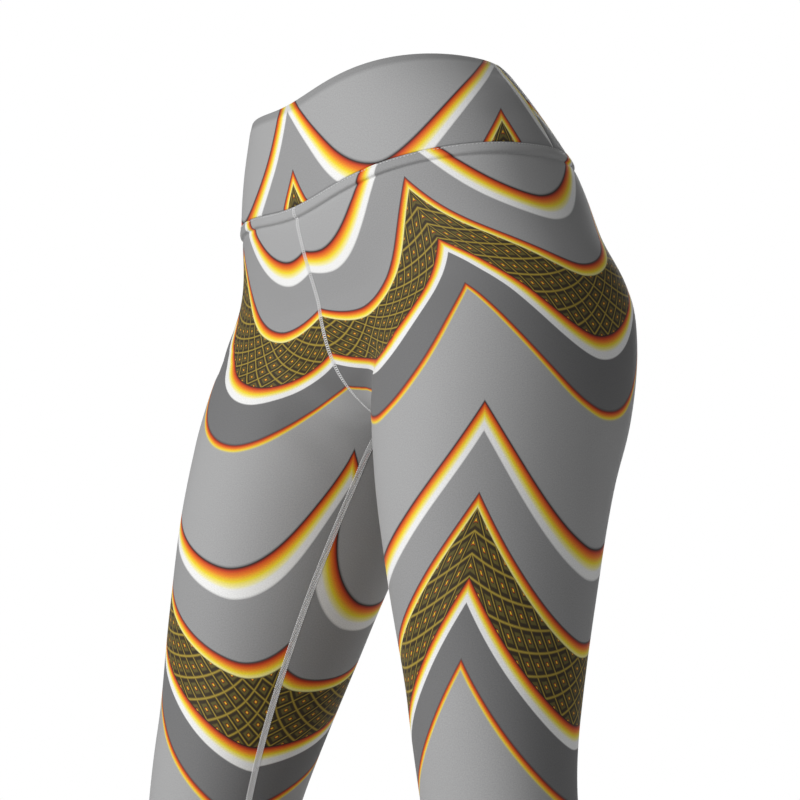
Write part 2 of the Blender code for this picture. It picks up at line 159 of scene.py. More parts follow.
def stationOf(points, pose):
    # How far along the leg's axis each point lies.
    along = -points[..., 2]
    for _ in range(4):
        axisPoint, run = limbAxis(along, pose)
        along = along + np.sum((points - axisPoint) * run, axis=-1) / np.sum(run**2, axis=-1)
    return along


def limbGap(points, pose):
    along = stationOf(points, pose)
    axisPoint, outwards, backwards = limbFrame(along, pose)
    across = np.sum((points - axisPoint) * outwards, axis=-1)
    forth = np.sum((points - axisPoint) * backwards, axis=-1)
    outer, inner, front, back = sizesAt(limb, along)
    power = figure["limbSquareness"]
    ratio = np.abs(across / np.where(across > 0, outer, inner)) ** power
    ratio = ratio + np.abs(forth / np.where(forth > 0, back, front)) ** power
    above = np.clip(figure["limbTop"] - along, 0, None)
    ratio = ratio + (above / figure["limbTopRounding"]) ** power
    return gapFrom(ratio, np.sqrt(across**2 + forth**2 + above**2) + 1e-6, power)


def formGap(points, name):
    # The outside of one leg's cloth: negative inside it.
    own, other = stance[name], stance["left" if name == "right" else "right"]
    drop = -points[..., 2]
    fadeStart, fadeLength, fadeLift, fadeMost = figure["otherLegFade"]
    fade = np.clip((drop - fadeStart) / fadeLength, 0, fadeMost)
    gaps = np.stack([trunkGap(points), limbGap(points, own), limbGap(points, other) + fadeLift * fade**2])
    nearest = gaps.min(axis=0)
    blend = figure["blend"]
    gap = nearest - blend * np.log(np.exp(-(gaps - nearest) / blend).sum(axis=0))
    atCrotch, belowCrotch, over, soft = figure["clearance"]
    below = np.clip((drop - crotchDrop) / over, 0, 1)
    apart = atCrotch + belowCrotch * below - own["side"] * points[..., 0]
    rounding = soft * np.log1p(np.exp(-np.abs(gap - apart) / soft)) * below
    return np.where(below > 0, np.maximum(gap, apart) + rounding, gap)


def formSlope(points, name, step=0.5):
    slope = np.empty_like(points)
    for axis in range(3):
        shift = np.zeros(3)
        shift[axis] = step
        slope[..., axis] = (formGap(points + shift, name) - formGap(points - shift, name)) / (2 * step)
    return slope


def outwardAt(points, name):
    return unit(formSlope(points, name))


def settle(points, name, rounds=3):
    # Moves points onto the form.
    for _ in range(rounds):
        slope = formSlope(points, name)
        points = points - slope * (formGap(points, name) / np.sum(slope**2, axis=-1))[..., None]
    return points


def castOut(starts, directions, name, farthest=260.0, halvings=24):
    # Where lines from inside leave the form.
    near = np.zeros(directions.shape[:-1])
    far = np.full(directions.shape[:-1], farthest)
    for _ in range(halvings):
        middle = (near + far) / 2
        inside = formGap(starts + directions * middle[..., None], name) < 0
        near, far = np.where(inside, middle, near), np.where(inside, far, middle)
    return starts + directions * ((near + far) / 2)[..., None]


def withSlope(directions, slope):
    # Level directions, tipped so that they stay in a plane with this slope.
    return np.concatenate([directions, (directions @ slope)[..., None]], axis=-1)


def lengthsAlong(line):
    return np.concatenate([[0.0], np.cumsum(np.linalg.norm(np.diff(line, axis=0), axis=-1))])


def pointsAt(line, distances):
    # The points at these distances along a line.
    run = lengthsAlong(line)
    return np.stack([np.interp(distances, run, line[:, axis]) for axis in range(3)], axis=-1)


def spaced(line, count):
    return pointsAt(line, np.linspace(0, lengthsAlong(line)[-1], count))


def riseLine(name, samples=241):
    # Down the centre front, under and up the centre back, on one leg's side of the seam.
    edge = stance[name]["side"] * cut["seamGap"] / 2
    pivot = np.array([edge, 0.0, -figure["hipLevel"]])
    forthAndBack = withSlope(np.array([[0.0, -1.0], [0.0, 1.0]]), seamSlope)
    ends = castOut(np.array([edge, 0.0, seamTop]), forthAndBack, name) - pivot
    first = math.atan2(-ends[0, 2], -ends[0, 1])
    last = math.atan2(-ends[1, 2], -ends[1, 1]) + 2 * math.pi
    turn = np.linspace(first, last, samples)
    directions = np.stack([np.zeros_like(turn), -np.cos(turn), -np.sin(turn)], axis=-1)
    return castOut(pivot, directions, name)


# The legs' cloth: a coarse grid evened out over the form, then read finely from it.
legCloth = {
    "round": 32, "toCrotch": 13, "toHem": 31, "relax": 60, "finer": 4, "besideSeams": (0.05, 0.12),
    "clearOfEdges": 1.0, "seamDip": 0.18, "seamDipReach": 1.4, "printTrueTo": 30.0, "printLevelFrom": 180.0,
}


def coarseRows(name):
    pose = stance[name]
    line = riseLine(name)
    under = line[:, 2] < -figure["hipLevel"]
    crotch = int(np.argmin(np.where(under, np.abs(line[:, 1] + cut["crotchForward"]), np.inf)))
    count = legCloth["toCrotch"] + 1
    frontSeam, backSeam = spaced(line[: crotch + 1], count), spaced(line[crotch:], count)[::-1]
    share = np.linspace(0, 1, legCloth["round"] + 1)
    rows = []
    for step in range(count):
        down = step / legCloth["toCrotch"]
        slope = seamSlope * (1 - down)
        level = seamTop + (frontSeam[-1, 2] - seamTop) * down
        centre = np.array([pose["side"] * figure["hipSpread"] * down, figure["hipBack"] * down])
        front, back = frontSeam[step], backSeam[step]
        start = math.atan2(front[1] - centre[1], pose["side"] * (front[0] - centre[0]))
        end = math.atan2(back[1] - centre[1], pose["side"] * (back[0] - centre[0])) % (2 * math.pi)
        turn = start + (end - start) * share
        nearestSeam = np.where(share[:, None] < 0.5, front, back)
        lift = nearestSeam[:, 2] - (level + nearestSeam[:, :2] @ slope)
        height = level + centre @ slope + lift * np.abs(2 * share - 1) ** 2
        starts = np.stack([np.full_like(turn, centre[0]), np.full_like(turn, centre[1]), height], axis=-1)
        level2d = np.stack([pose["side"] * np.cos(turn), np.sin(turn)], axis=-1)
        row = castOut(starts, withSlope(level2d, slope), name)
        row[0], row[-1] = front, back
        rows.append(row)
    for step in range(1, legCloth["toHem"] + 1):
        down = step / legCloth["toHem"]
        along = np.array(crotchDrop + (cut["length"] - crotchDrop) * down)
        centre, outwards, backwards = limbFrame(along, pose)
        inseam = -180 + cut["inseamTurn"] + cut["inseamDrift"] * down
        turn = np.radians(inseam + 360 * share)[:, None]
        rows.append(castOut(centre, outwards * np.cos(turn) + backwards * np.sin(turn), name))
    return np.array(rows)


def relaxed(grid, name):
    # Evens out the grid's steps. The top row, the hem and the seam between the legs stay.
    top = legCloth["toCrotch"] + 1
    for _ in range(legCloth["relax"]):
        moved = grid.copy()
        moved[1:-1, 1:-1] = (grid[:-2, 1:-1] + grid[2:, 1:-1] + grid[1:-1, :-2] + grid[1:-1, 2:]) / 4
        tube = slice(top, -1)
        moved[tube, 0] = (grid[top - 1 : -2, 0] + grid[top + 1 :, 0] + grid[tube, 1] + grid[tube, -2]) / 4
        moved[tube, -1] = moved[tube, 0]
        moved = settle(moved, name, rounds=1)
        moved[:top, [0, -1]] = grid[:top, [0, -1]]
        moved[[0, -1]] = grid[[0, -1]]
        grid = moved
    return grid


def between(grid, places):
    # Reads a grid between its rows, on a smooth curve.
    last = len(grid) - 1
    row = np.clip(np.floor(places).astype(int), 0, last - 1)
    t = (places - row)[:, None, None]
    before, start, end, after = [grid[np.clip(row + step, 0, last)] for step in (-1, 0, 1, 2)]
    bow = 2 * before - 5 * start + 4 * end - after + t * (3 * (start - end) + after - before)
    return start + t / 2 * (end - before + t * bow)


def downColumns(grid, distances):
    # Rows at these distances down each of the grid's columns.
    return np.stack([pointsAt(grid[:, column], distances) for column in range(grid.shape[1])], axis=1)


# Under the waistband the legs' edge is turned down: how proud it stands at each distance from the join.
turnedEdge = {
    "below": (0, 0.6, 1.2, 1.8, 2.6, 4.0, 5.6, 7.0, 8.2, 9.0, 9.6, 10.3, 11.6, 14.0, 18.0),
    "proud": (0.9, 1.45, 1.2, 1.15, 1.5, 1.8, 1.85, 1.75, 1.45, 0.6, -0.5, -0.95, -0.55, -0.15, 0.0),
}
ankleHem = {
    "above": (0, 0.8, 3.0, 15.0, 17.0, 19.0, 20.0, 20.6, 22.0),
    "proud": (0.45, 0.75, 0.8, 0.8, 0.7, 0.7, 0.35, -0.1, 0.0),
}
# Soft folds pressed into the cloth, from and to (degrees round from the outside, along the leg).
# Below nought degrees lies the leg's front, above it the back.
creases = [
    {"leg": "left", "from": (-152, 264), "to": (-92, 242), "depth": 3.0, "width": 13},
    {"leg": "left", "from": (-150, 296), "to": (-114, 272), "depth": 1.6, "width": 10},
    {"leg": "left", "from": (-140, 322), "to": (-118, 308), "depth": 1.0, "width": 8},
    {"leg": "right", "from": (-163, 272), "to": (-112, 234), "depth": 2.5, "width": 20},
    {"leg": "right", "from": (-160, 306), "to": (-120, 282), "depth": 1.6, "width": 15},
    {"leg": "right", "from": (-112, 232), "to": (-76, 208), "depth": 1.4, "width": 12},
    {"leg": "left", "from": (146, 300), "to": (92, 286), "depth": 3.2, "width": 14},
    {"leg": "left", "from": (138, 326), "to": (104, 318), "depth": 1.8, "width": 10},
    {"leg": "right", "from": (148, 308), "to": (88, 296), "depth": 2.7, "width": 15},
    {"leg": "right", "from": (136, 336), "to": (106, 330), "depth": 1.4, "width": 10},
    {"leg": "left", "from": (52, 566), "to": (126, 558), "depth": 3.0, "width": 8},
    {"leg": "left", "from": (62, 586), "to": (116, 593), "depth": 2.4, "width": 7},
    {"leg": "left", "from": (72, 544), "to": (118, 535), "depth": 1.8, "width": 7},
    {"leg": "right", "from": (56, 574), "to": (120, 564), "depth": 2.6, "width": 8},
    {"leg": "right", "from": (68, 595), "to": (112, 601), "depth": 1.9, "width": 7},
    {"leg": "right", "from": (80, 550), "to": (122, 544), "depth": 1.4, "width": 7},
    {"leg": "left", "from": (-128, 899), "to": (-48, 909), "depth": 2.0, "width": 5},
    {"leg": "left", "from": (-108, 917), "to": (-60, 923), "depth": 1.5, "width": 4.5},
    {"leg": "left", "from": (52, 891), "to": (138, 900), "depth": 2.2, "width": 5.5},
    {"leg": "left", "from": (70, 912), "to": (120, 916), "depth": 1.5, "width": 4.5},
    {"leg": "left", "from": (-36, 884), "to": (24, 878), "depth": 1.2, "width": 6},
    {"leg": "right", "from": (-132, 894), "to": (-56, 905), "depth": 2.1, "width": 5},
    {"leg": "right", "from": (-112, 914), "to": (-70, 918), "depth": 1.4, "width": 4.5},
    {"leg": "right", "from": (46, 904), "to": (130, 895), "depth": 2.0, "width": 5.5},
    {"leg": "right", "from": (78, 920), "to": (126, 914), "depth": 1.4, "width": 4.5},
    {"leg": "right", "from": (-30, 880), "to": (34, 888), "depth": 1.2, "width": 6},
]


def creaseLine(crease, samples=15):
    # The crease's own line on the form, and its depth, which runs out at both ends.
    share = np.linspace(0, 1, samples)
    turn = np.radians(crease["from"][0] + (crease["to"][0] - crease["from"][0]) * share)[:, None]
    along = crease["from"][1] + (crease["to"][1] - crease["from"][1]) * share
    centre, outwards, backwards = limbFrame(along, stance[crease["leg"]])
    directions = outwards * np.cos(turn) + backwards * np.sin(turn)
    return castOut(centre, directions, crease["leg"]), crease["depth"] * np.sin(math.pi * share) ** 0.8


for crease in creases:
    crease["line"], crease["deep"] = creaseLine(crease)


def creasesAt(points, name, shoulder=0.7):
    # How far the creases press the outside of a leg's cloth in. A low shoulder stands beside each.
    pressed = np.zeros(points.shape[:-1])
    for crease in creases:
        if crease["leg"] != name:
            continue
        away = np.linalg.norm(points[..., None, :] - crease["line"], axis=-1)
        near = np.argmin(away, axis=-1)
        ratio = np.min(away, axis=-1) / crease["width"]
        pressed = pressed - crease["deep"][near] * (1 - shoulder * ratio**2) * np.exp(-(ratio**2))
    return pressed


def seamDipAt(distance):
    return -legCloth["seamDip"] * np.exp(-((distance / legCloth["seamDipReach"]) ** 2))


tilt = Euler((math.radians(figure["pitch"]), -math.radians(figure["roll"]), 0.0)).to_matrix()


def leaned(points):
    # Above the hips the garment leans and turns with the waist, and its front sags.
    x, y, drop = points[..., 0], points[..., 1], -points[..., 2]
    lean = figure["sway"] * np.clip(1 - drop / figure["hipLevel"], 0, 1) ** 2
    wholeAbove, noneBelow = figure["turnFade"]
    rise = np.clip((noneBelow - drop) / (noneBelow - wholeAbove), 0, 1)
    share = rise**2 * (3 - 2 * rise)
    turn = math.radians(figure["turn"]) * share
    inFront = np.clip(-y, 0, None) ** 4 / np.maximum(x**2 + y**2, 1.0) ** 2
    turnedX = x * np.cos(turn) + y * np.sin(turn) - lean
    turnedY = y * np.cos(turn) - x * np.sin(turn)
    return np.stack([turnedX, turnedY, -drop - figure["frontDip"] * share * inFront], axis=-1)


waistMiddle = leaned(np.array([0.0, (trunk["back"][0] - trunk["front"][0]) / 2, 0.0])) * [1, 1, 0]


def placed(points):
    # From the figure's upright frame to the part's frame, in metres.
    return (leaned(points) - waistMiddle) @ np.array(tilt).T * metre


def clothMesh(name, outer, inner, printPlace, materials):
    # One closed wall. The outer grid keeps its print coordinates,
    # and the inner wall gets the second material.
    rows, columns = outer.shape[:2]
    bm = bmesh.new()
    bmesh.ops.create_grid(bm, x_segments=columns - 1, y_segments=rows - 1, size=1.0)
    gridPlace = bm.verts.layers.int.new("gridPlace")
    printMap = bm.loops.layers.uv.new("print")
    outerPoints, innerPoints = placed(outer).reshape(-1, 3), placed(inner).reshape(-1, 3)
    flatPrint = printPlace.reshape(-1, 2) * metre
    for vert in bm.verts:
        column = round((vert.co.x + 1) / 2 * (columns - 1))
        row = round((1 - vert.co.y) / 2 * (rows - 1))
        vert[gridPlace] = row * columns + column
        vert.co = outerPoints[row * columns + column]
    for face in bm.faces:
        for loop in face.loops:
            loop[printMap].uv = flatPrint[loop.vert[gridPlace]]
    bmesh.ops.remove_doubles(bm, verts=bm.verts, dist=1e-7)
    extruded = bmesh.ops.extrude_face_region(bm, geom=bm.faces[:], use_keep_orig=True)
    for piece in extruded["geom"]:
        if isinstance(piece, bmesh.types.BMVert):
            piece.co = innerPoints[piece[gridPlace]]
        elif isinstance(piece, bmesh.types.BMFace):
            piece.material_index = 1
    bmesh.ops.recalc_face_normals(bm, faces=bm.faces)
    mesh = bpy.data.meshes.new(name)
    bm.to_mesh(mesh)
    bm.free()
    return addPiece(name, mesh, materials)


def addPiece(name, mesh, materials):
    mesh.shade_smooth()
    for material in materials:
        mesh.materials.append(material)
    piece = bpy.data.objects.new(name, mesh)
    bpy.context.collection.objects.link(piece)
    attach(piece, "root")
    return piece


# Shader nodes, laid out by short calls.
def mathNode(tree, operation, first, second=None):
    node = tree.nodes.new("ShaderNodeMath")
    node.operation = operation
    for socket, value in zip(node.inputs, (first, second)):
        if isinstance(value, bpy.types.NodeSocket):
            tree.links.new(value, socket)
        elif value is not None:
            socket.default_value = value
    return node.outputs[0]


def rampNode(tree, value, stops):
    node = tree.nodes.new("ShaderNodeValToRGB")
    tree.links.new(value, node.inputs["Fac"])
    ramp = node.color_ramp
    while len(ramp.elements) > 1:
        ramp.elements.remove(ramp.elements[-1])
    for count, (place, colour) in enumerate(stops):
        element = ramp.elements[0] if count == 0 else ramp.elements.new(place)
        element.position = place
        element.color = (*colour, 1.0)
    return node.outputs["Color"]


def mixNode(tree, share, first, second, blend="MIX"):
    node = tree.nodes.new("ShaderNodeMix")
    node.data_type = "RGBA"
    node.blend_type = blend
    factor, colourA, colourB = node.inputs[0], node.inputs[6], node.inputs[7]
    for socket, value in ((factor, share), (colourA, first), (colourB, second)):
        if isinstance(value, bpy.types.NodeSocket):
            tree.links.new(value, socket)
        elif isinstance(value, tuple):
            socket.default_value = (*value, 1.0)
        else:
            socket.default_value = value
    return node.outputs[2]


def noiseNode(tree, place, scale):
    noise = tree.nodes.new("ShaderNodeTexNoise")
    noise.inputs["Scale"].default_value = scale
    noise.inputs["Detail"].default_value = 3.0
    tree.links.new(place, noise.inputs["Vector"])
    return noise.outputs["Fac"]


knitFinish = {
    "wale": 0.0009, "course": 0.0007, "courseShare": 0.5, "bump": 0.12, "loopDepth": 0.0001,
    "roughness": 0.70, "sheen": 0.12, "sheenRoughness": 0.45, "specular": 0.25,
    "grain": 1000.0, "grainDark": 0.70, "grainLight": 1.14, "stretchScale": 14.0, "stretchDark": 0.955,
}
dye = {
    "paleGrey": (0.365, 0.365, 0.367),
    "midGrey": (0.300, 0.300, 0.302),
    "deepGrey": (0.165, 0.165, 0.167),
    "ink": (0.012, 0.009, 0.008),
    "ember": (0.58, 0.050, 0.008),
    "orange": (0.84, 0.22, 0.012),
    "yellow": (0.86, 0.70, 0.03),
    "cream": (0.88, 0.82, 0.40),
    "white": (0.84, 0.84, 0.83),
    "umber": (0.036, 0.024, 0.009),
    "olive": (0.120, 0.095, 0.020),
    "oldGold": (0.26, 0.18, 0.025),
    "gold": (0.42, 0.31, 0.040),
    "offWhite": (0.78, 0.775, 0.76),
}


def knitBump(tree, shader, place):
    # Fine columns of knit loops: wales along the cloth, courses across it.
    split = tree.nodes.new("ShaderNodeSeparateXYZ")
    tree.links.new(place, split.inputs[0])
    wale = mathNode(tree, "MULTIPLY", split.outputs["X"], 2 * math.pi / knitFinish["wale"])
    course = mathNode(tree, "MULTIPLY", split.outputs["Y"], 2 * math.pi / knitFinish["course"])
    courseWave = mathNode(tree, "MULTIPLY", mathNode(tree, "SINE", course), knitFinish["courseShare"])
    bump = tree.nodes.new("ShaderNodeBump")
    bump.inputs["Strength"].default_value = knitFinish["bump"]
    bump.inputs["Distance"].default_value = knitFinish["loopDepth"]
    tree.links.new(mathNode(tree, "ADD", mathNode(tree, "SINE", wale), courseWave), bump.inputs["Height"])
    tree.links.new(bump.outputs["Normal"], shader.inputs["Normal"])


def startMaterial(name):
    material = bpy.data.materials.new(name)
    material.use_nodes = True
    tree = material.node_tree
    shader = tree.nodes["Principled BSDF"]
    shader.inputs["Roughness"].default_value = knitFinish["roughness"]
    shader.inputs["Sheen Weight"].default_value = knitFinish["sheen"]
    shader.inputs["Sheen Roughness"].default_value = knitFinish["sheenRoughness"]
    shader.inputs["Specular IOR Level"].default_value = knitFinish["specular"]
    uv = tree.nodes.new("ShaderNodeUVMap")
    uv.uv_map = "print"
    return material, tree, shader, uv.outputs["UV"]


def finishKnit(tree, shader, place, colour):
    # The dye lies a little unevenly in the knit, finely and in broad soft patches.
    undyed = (1.0, 1.0, 1.0)
    fine = noiseNode(tree, place, knitFinish["grain"])
    fine = mixNode(tree, fine, (knitFinish["grainDark"],) * 3, (knitFinish["grainLight"],) * 3)
    broad = noiseNode(tree, place, knitFinish["stretchScale"])
    broad = mixNode(tree, broad, (knitFinish["stretchDark"],) * 3, undyed)
    colour = mixNode(tree, 1.0, colour, mixNode(tree, 1.0, fine, broad, "MULTIPLY"), "MULTIPLY")
    tree.links.new(colour, shader.inputs["Base Color"])
    knitBump(tree, shader, place)


def plainKnit(name, colour):
    material, tree, shader, place = startMaterial(name)
    finishKnit(tree, shader, place, colour)
    return material


# The print: rows of flame tongues, pointed above and round below, and a fine trellis between two of them.
flame = {
    "period": 0.200, "rise": 0.100, "point": 1.8, "repeat": 0.300,
    "trellisFrom": 0.1500, "trellisTo": 0.2000, "cellWide": 0.01667, "cellTall": 0.01667,
}
# Dyes down one repeat, each at its place in millimetres.
flameStripes = (
    (65.4, "paleGrey"), (66.0, "ink"), (67.0, "ink"), (69.2, "ember"), (72.8, "orange"), (77.5, "yellow"),
    (81.5, "cream"), (83.5, "white"), (90.0, "white"), (90.8, "midGrey"), (137.4, "midGrey"), (138.4, "ink"),
    (140.6, "ember"), (143.2, "orange"), (146.5, "yellow"), (149.5, "cream"), (150.0, "umber"),
    (200.6, "ink"), (202.6, "ember"), (205.2, "orange"), (208.5, "yellow"), (211.5, "cream"),
    (212.5, "white"), (218.0, "white"), (218.7, "deepGrey"), (257.4, "deepGrey"), (258.4, "ink"),
    (260.2, "ember"), (262.2, "orange"), (264.6, "yellow"), (266.4, "paleGrey"),
)
trellisRings = (
    (0.00, "gold"), (0.035, "oldGold"), (0.085, "umber"), (0.20, "umber"), (0.27, "olive"), (0.36, "olive"),
    (0.40, "umber"), (0.43, "ember"), (0.47, "yellow"),
)


def flamePrint(name, shiftDown, shiftAcross, paintedTopShade=None):
    material, tree, shader, place = startMaterial(name)
    split = tree.nodes.new("ShaderNodeSeparateXYZ")
    tree.links.new(place, split.inputs[0])
    half = flame["period"] / 2
    zig = mathNode(tree, "PINGPONG", mathNode(tree, "ADD", split.outputs["X"], shiftAcross), half)
    tongue = mathNode(tree, "POWER", mathNode(tree, "DIVIDE", zig, half), flame["point"])
    down = mathNode(tree, "ADD", split.outputs["Y"], shiftDown)
    fall = mathNode(tree, "ADD", down, mathNode(tree, "MULTIPLY", tongue, flame["rise"]))
    fall = mathNode(tree, "FLOORED_MODULO", fall, flame["repeat"])
    share = mathNode(tree, "DIVIDE", fall, flame["repeat"])
    stripes = [(stop * metre / flame["repeat"], dye[key]) for stop, key in flameStripes]
    colour = rampNode(tree, share, stripes)
    # The trellis: two families of slanting lines, which cross to diamonds with a spot in each.
    cellAcross = mathNode(tree, "DIVIDE", zig, flame["cellWide"])
    fallWithin = mathNode(tree, "SUBTRACT", fall, flame["trellisFrom"])
    cellDown = mathNode(tree, "DIVIDE", fallWithin, flame["cellTall"])
    leftward = mathNode(tree, "PINGPONG", mathNode(tree, "ADD", cellAcross, cellDown), 0.5)
    rightward = mathNode(tree, "PINGPONG", mathNode(tree, "SUBTRACT", cellAcross, cellDown), 0.5)
    nearestLine = mathNode(tree, "MINIMUM", leftward, rightward)
    rings = rampNode(tree, nearestLine, [(stop, dye[key]) for stop, key in trellisRings])
    within = mathNode(tree, "GREATER_THAN", fall, flame["trellisFrom"])
    within = mathNode(tree, "MULTIPLY", within, mathNode(tree, "LESS_THAN", fall, flame["trellisTo"]))
    colour = mixNode(tree, within, colour, rings)
    # Painted shade: the colour is darkened in a strip along the top edge.
    if paintedTopShade:
        fromEdge = mathNode(tree, "DIVIDE", split.outputs["Y"], paintedTopShade["reach"])
        dark = (paintedTopShade["dark"],) * 3
        edgeShade = rampNode(tree, fromEdge, [(0.0, dark), (paintedTopShade["whole"], dark), (1.0, (1.0, 1.0, 1.0))])
        colour = mixNode(tree, 1.0, colour, edgeShade, "MULTIPLY")
    finishKnit(tree, shader, place, colour)
    return material


# Painted shade: the waistband's print is darkened in a narrow strip below its folded top edge, standing in
# for the shade there.
paintedEdgeShade = {"reach": 0.0085, "whole": 0.6, "dark": 0.74}
legPrint = flamePrint("legPrint", shiftDown=0.020, shiftAcross=0.0)
bandPrintAndShade = flamePrint("bandPrintAndShade", shiftDown=0.285, shiftAcross=0.100, paintedTopShade=paintedEdgeShade)
plainInside = plainKnit("plainInside", dye["offWhite"])
print("materials ready")


def legGrid(name):
    # The fine grid on the form, how proud its rows stand, and which rows end at the seam between the legs.
    coarse = relaxed(coarseRows(name), name)
    finer = legCloth["finer"]
    rowPlaces = np.arange((len(coarse) - 1) * finer + 1) / finer
    steady = np.arange(legCloth["round"] * finer + 1) / finer
    beside = np.array(legCloth["besideSeams"])
    columnPlaces = np.sort(np.concatenate([steady, beside, legCloth["round"] - beside]))
    fine = between(coarse, rowPlaces)
    fine = np.swapaxes(between(np.swapaxes(fine, 0, 1), columnPlaces), 0, 1)
    onRise = rowPlaces <= legCloth["toCrotch"]
    edges = fine[:, [0, -1]].copy()
    fine = settle(fine, name)
    fine[onRise, 0], fine[onRise, -1] = edges[onRise, 0], edges[onRise, 1]
    fine[~onRise, -1] = fine[~onRise, 0]
    around = withSlope(unit(fine[0, 1:-1, :2]), seamSlope)
    fine[0, 1:-1] = castOut(np.array([0.0, 0.0, seamTop]), around, name)
    edgeRows = downColumns(fine, turnedEdge["below"])
    hemRows = downColumns(fine[::-1], ankleHem["above"])[::-1]
    edgeRows[1:] = settle(edgeRows[1:], name)
    edgeRows[:, [0, -1], 0] = fine[0, [0, -1], 0]
    hemRows[:-1] = settle(hemRows[:-1], name)
    hemRows[:, -1] = hemRows[:, 0]
    steps = np.linalg.norm(np.diff(fine, axis=0), axis=-1)
    fromTop = np.cumsum(steps, axis=0).min(axis=1)
    fromHem = np.cumsum(steps[::-1], axis=0).min(axis=1)[::-1]
    kept = np.zeros(len(fine), bool)
    kept[1:] = fromTop > turnedEdge["below"][-1] + legCloth["clearOfEdges"]
    kept[:-1] &= fromHem > ankleHem["above"][-1] + legCloth["clearOfEdges"]
    kept[-1] = False
    grid = np.concatenate([edgeRows, fine[kept], hemRows])
    proud = np.concatenate([turnedEdge["proud"], np.zeros(kept.sum()), ankleHem["proud"][::-1]])
    onRise = np.concatenate([np.ones(len(edgeRows), bool), onRise[kept], np.zeros(len(hemRows), bool)])
    return grid, proud, onRise


def alongRows(grid):
    # How far along its own row each of the grid's points lies.
    steps = np.linalg.norm(np.diff(grid, axis=1), axis=-1)
    return np.concatenate([np.zeros((len(grid), 1)), np.cumsum(steps, axis=1)], axis=1)


def makeLeg(name):
    grid, proud, onRise = legGrid(name)
    outwards = outwardAt(grid, name)
    for end in (0, -1):
        outwards[onRise, end, 0] = 0.0      # stays in the plane between the legs
    outwards[0, :, 2] = outwards[0, :, :2] @ seamSlope      # stays in the plane of the waist seam
    outwards = unit(outwards)
    across = alongRows(grid)
    fromSeam = np.minimum(across, across[:, -1:] - across)
    relief = (proud[:, None] + seamDipAt(fromSeam) + creasesAt(grid, name))[..., None]
    middle = grid.shape[1] // 2
    # The print runs true to each column below the waist, and level round the leg further down.
    columnDown = alongRows(np.swapaxes(grid, 0, 1)).T
    levelDown = columnDown.mean(axis=1, keepdims=True)
    trueTo, levelFrom = legCloth["printTrueTo"], legCloth["printLevelFrom"]
    trueShare = np.clip((levelFrom - levelDown) / (levelFrom - trueTo), 0, 1)
    printDown = levelDown + (columnDown - levelDown) * trueShare**2 * (3 - 2 * trueShare)
    printPlace = np.stack([across - across[:, middle : middle + 1], printDown], axis=-1)
    piece = clothMesh(
        "leg" + name.capitalize(),
        grid + outwards * relief,
        grid + outwards * (np.minimum(relief, 0.0) - cut["legWall"]),
        printPlace,
        [legPrint, plainInside],
    )
    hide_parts("leg_" + name)
    print(piece.name, len(piece.data.polygons), "faces")
    legPieces[name] = piece
    return grid, onRise


legPieces = {}
legSurface = {name: makeLeg(name) for name in stance}

# The waistband: folded double at its top edge, in a front and a back part.
waistband = {
    "down": (0, 0.25, 0.8, 1.7, 2.8, 4.5, 6.5, 9.0, 12.0, 79.0, 80.6, 81.4, 81.85),
    "outside": (-1.1, -0.6, -0.2, 0.0, 0.12, 0.35, 0.65, 0.85, 0.8, 0.8, 0.7, 0.5, 0.2),
    "inside": (1.35, 1.55, 1.75, 1.9, 1.95, 1.85, 1.6, 1.42, 1.4, 1.4, 1.4, 1.35, 1.2),
    "steadyFrom": 12.0, "steadyTo": 79.0, "steadyRows": 26,
    "columns": {"front": 132, "back": 100}, "besideSeams": (0.15, 0.4),
    "seamDip": 0.6, "seamDipReach": 1.2, "backProud": 0.35, "backProudReach": 5.0,
    "flat": {"front": (0.43, 0.087), "back": (0.30, 0.084)},
}
# Shallow hollows in the waistband: how far round from the left side and down, their reach and depth.
bandHollows = (
    {"half": "front", "turn": -2, "down": 57, "across": 30, "tall": 9, "depth": 1.1},
    {"half": "front", "turn": 3, "down": 15, "across": 34, "tall": 6, "depth": 0.6},
    {"half": "front", "turn": -74, "down": 44, "across": 22, "tall": 16, "depth": 0.5},
    {"half": "front", "turn": -176, "down": 52, "across": 26, "tall": 10, "depth": 0.9},
    {"half": "back", "turn": 62, "down": 58, "across": 24, "tall": 12, "depth": 1.0},
    {"half": "back", "turn": 112, "down": 46, "across": 30, "tall": 13, "depth": 1.2},
)


def bandRing(turn, drop):
    side, front, back = sizesAt(trunk, np.array(float(drop)))
    depth = np.where(np.sin(turn) > 0, back, front)
    level2d = unit(np.stack([side * np.cos(turn), depth * np.sin(turn)], axis=-1))
    share = drop / (cut["bandHeight"] - cut["seamGap"] / 2)
    return castOut(np.array([0.0, 0.0, -float(drop)]), withSlope(level2d, seamSlope * share), "left")


